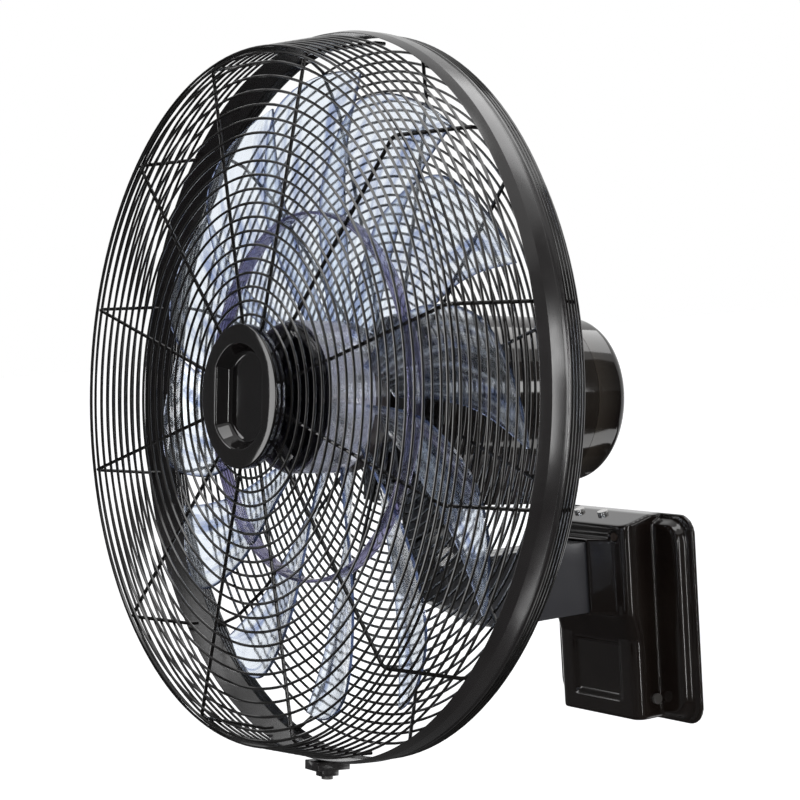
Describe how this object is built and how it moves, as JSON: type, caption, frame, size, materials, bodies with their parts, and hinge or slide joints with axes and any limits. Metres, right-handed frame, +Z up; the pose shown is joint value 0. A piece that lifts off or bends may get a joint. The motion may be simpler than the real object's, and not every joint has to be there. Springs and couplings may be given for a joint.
{
  "type": "wall mounted fan",
  "caption": "Wall mounted fan with a round wire cage, sickle shaped blades, a motor head that swings from side to side, a tilting knuckle and a bracket arm.",
  "frame": {"origin": "middle of the wall plate's bolt pattern, on its back face against the wall", "axes": "+Z up along the wall, +Y into the wall, so the fan blows towards -Y; +X to the right as seen from the wall's room side"},
  "size_m": [0.5448, 0.372, 0.5577],
  "materials": {
    "zinc_steel": "zinc plated sheet",
    "black_cover": "gloss black moulding",
    "arm_paint": "satin bluish black coat on a casting",
    "black_screw": "black oxide screw",
    "bright_steel": "bright steel",
    "black_knob": "fine grained black moulding",
    "black_casting": "satin black coat on a casting",
    "nylon": "natural nylon",
    "gear_black": "gloss black moulding",
    "motor_black": "gloss black moulding",
    "swing_drive": "drawn steel can",
    "crank": "natural acetal",
    "lamination": "stacked steel sheets",
    "wire_black": "gloss black powder coat on wire",
    "nut_black": "black moulding",
    "band_black": "satin black moulding",
    "blade_smoke": "clear pale blue moulding",
    "badge_black": "high gloss black moulding"
  },
  "bodies": {
    "bracket": {"wall_plate": "zinc_steel", "bracket_cover": "black_cover", "arm": "arm_paint", "top_screws": "bright_steel", "side_screws": "black_screw", "front_plug": "black_cover", "tilt_bolt": "bright_steel"},
    "knob": {"tilt_knob": "black_knob"},
    "knuckle": {"tilt_knuckle": "black_casting", "swivel_post": "bright_steel", "post_cap": "bright_steel", "cap_screw": "bright_steel", "thrust_washer": "nylon"},
    "head": {"swivel_bush": "nylon", "gearbox_housing": "gear_black", "swing_motor": "swing_drive", "motor_housing": "motor_black", "motor_rear_cover": "motor_black", "ball_bearings": "bright_steel", "stator": "lamination", "front_rings": "wire_black", "side_wires": "wire_black", "front_ribs": "wire_black", "rear_ribs": "wire_black", "rear_rings": "wire_black", "grille_seat": "wire_black", "grille_nut": "nut_black", "rim_band": "band_black", "rim_clip": "band_black", "clip_screw": "black_screw", "badge": "badge_black"},
    "crank": {"swing_crank": "crank"},
    "wheel": {"rotor": "lamination", "blade_wheel": "blade_smoke", "blade_nut": "nut_black"}
  },
  "joints": [
    {"name": "tilt", "type": "hinge", "parent": "bracket", "child": "knuckle", "pos_m": [0, -0.194, 0.07], "axis": [1, 0, 0], "range_deg": [-7, 20]},
    {"name": "swing", "type": "hinge", "parent": "knuckle", "child": "head", "pos_m": [0, -0.194, 0.07], "axis": [0, 0.0941, 0.9956], "range_deg": [-45, 45]},
    {"name": "spin", "type": "hinge", "parent": "head", "child": "wheel", "pos_m": [0, -0.27022, 0.19875], "axis": [0, -0.9956, 0.0941], "continuous": true},
    {"name": "crank_turn", "type": "hinge", "parent": "head", "child": "crank", "pos_m": [0, -0.14743, 0.10578], "axis": [0, 0.0941, 0.9956], "continuous": true},
    {"name": "knob_turn", "type": "hinge", "parent": "bracket", "child": "knob", "pos_m": [0, -0.194, 0.07], "axis": [1, 0, 0], "range_deg": [0, 720]}
  ]
}
